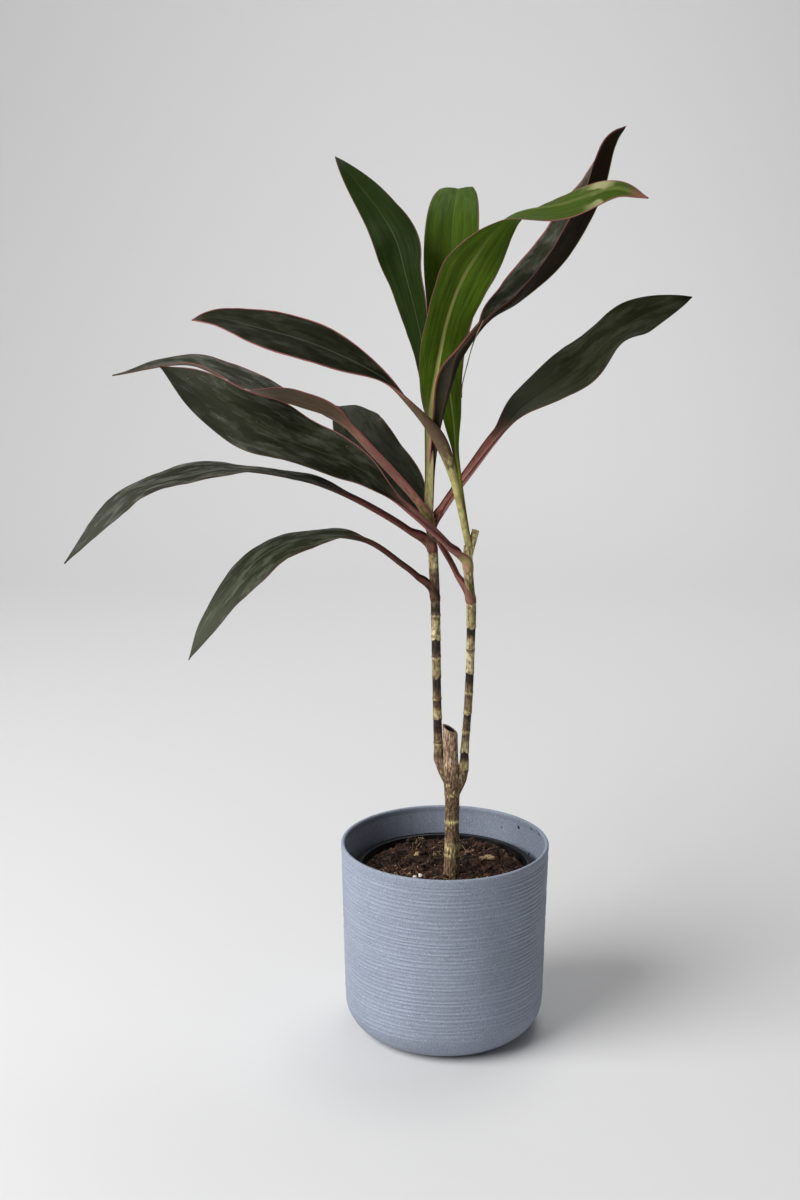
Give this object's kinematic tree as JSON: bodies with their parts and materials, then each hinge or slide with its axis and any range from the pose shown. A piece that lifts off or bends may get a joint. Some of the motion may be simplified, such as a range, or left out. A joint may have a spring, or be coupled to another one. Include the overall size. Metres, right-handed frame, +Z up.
{
  "type": "potted cordyline",
  "caption": "Forked cane plant with long strap leaves, rooted in a thin grow pot of soil that stands inside a finely ridged round cover pot.",
  "frame": {"origin": "centre of the cover pot's foot, on the surface that it stands on", "axes": "+Z up along the plant, +X to the viewer's right, -Y towards the viewer"},
  "size_m": [0.4253, 0.2089, 0.6402],
  "materials": {
    "pot_blue_grey": "matte, finely speckled",
    "grow_pot_black": "satin",
    "peat": "rough, damp",
    "bark": "matte",
    "leaf_dark": "waxy",
    "leaf_green": "waxy"
  },
  "bodies": {
    "root": {"cover_pot": "pot_blue_grey", "nursery_pot": "grow_pot_black", "soil": "peat", "stem": "bark", "leaf_low_left": "leaf_dark", "leaf_mid_left": "leaf_dark", "leaf_long_left": "leaf_dark", "leaf_right": "leaf_dark", "leaf_broad_left": "leaf_dark", "leaf_behind": "leaf_dark", "leaf_upper_left": "leaf_dark", "leaf_upright_green": "leaf_green", "leaf_centre_front": "leaf_green", "leaf_tall_right": "leaf_dark", "leaf_centre_back": "leaf_green", "leaf_tall_left": "leaf_dark"}
  },
  "joints": []
}
